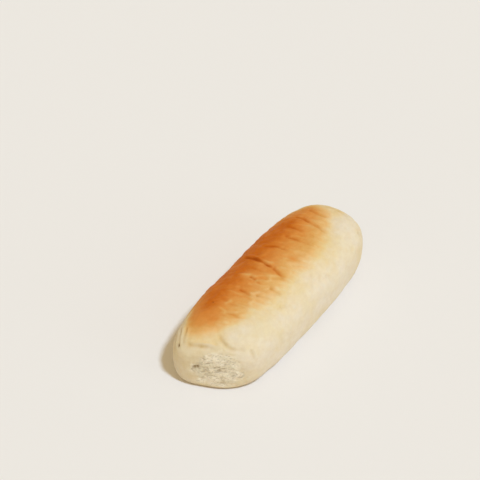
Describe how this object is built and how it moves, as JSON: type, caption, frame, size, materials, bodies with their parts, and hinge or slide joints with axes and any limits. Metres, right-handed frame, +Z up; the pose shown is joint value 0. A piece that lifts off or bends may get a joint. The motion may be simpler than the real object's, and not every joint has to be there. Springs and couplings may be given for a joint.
{
  "type": "hot dog bun",
  "caption": "Soft uncut hot dog bun: a long blunt-ended roll with a browned crown, pale sides, a crease over the top, torn ends and a flat base.",
  "frame": {"origin": "on the surface the bun rests on, under the middle of its extents", "axes": "+X along the length, away from the leaning torn end; +Y across, towards the browned side; +Z up"},
  "size_m": [0.155, 0.0608, 0.0416],
  "materials": {
    "crust": "soft baked bread skin, golden brown on the crown and cream on the sides, matt with a faint sheen"
  },
  "bodies": {
    "root": {"bun": "crust"}
  },
  "joints": []
}
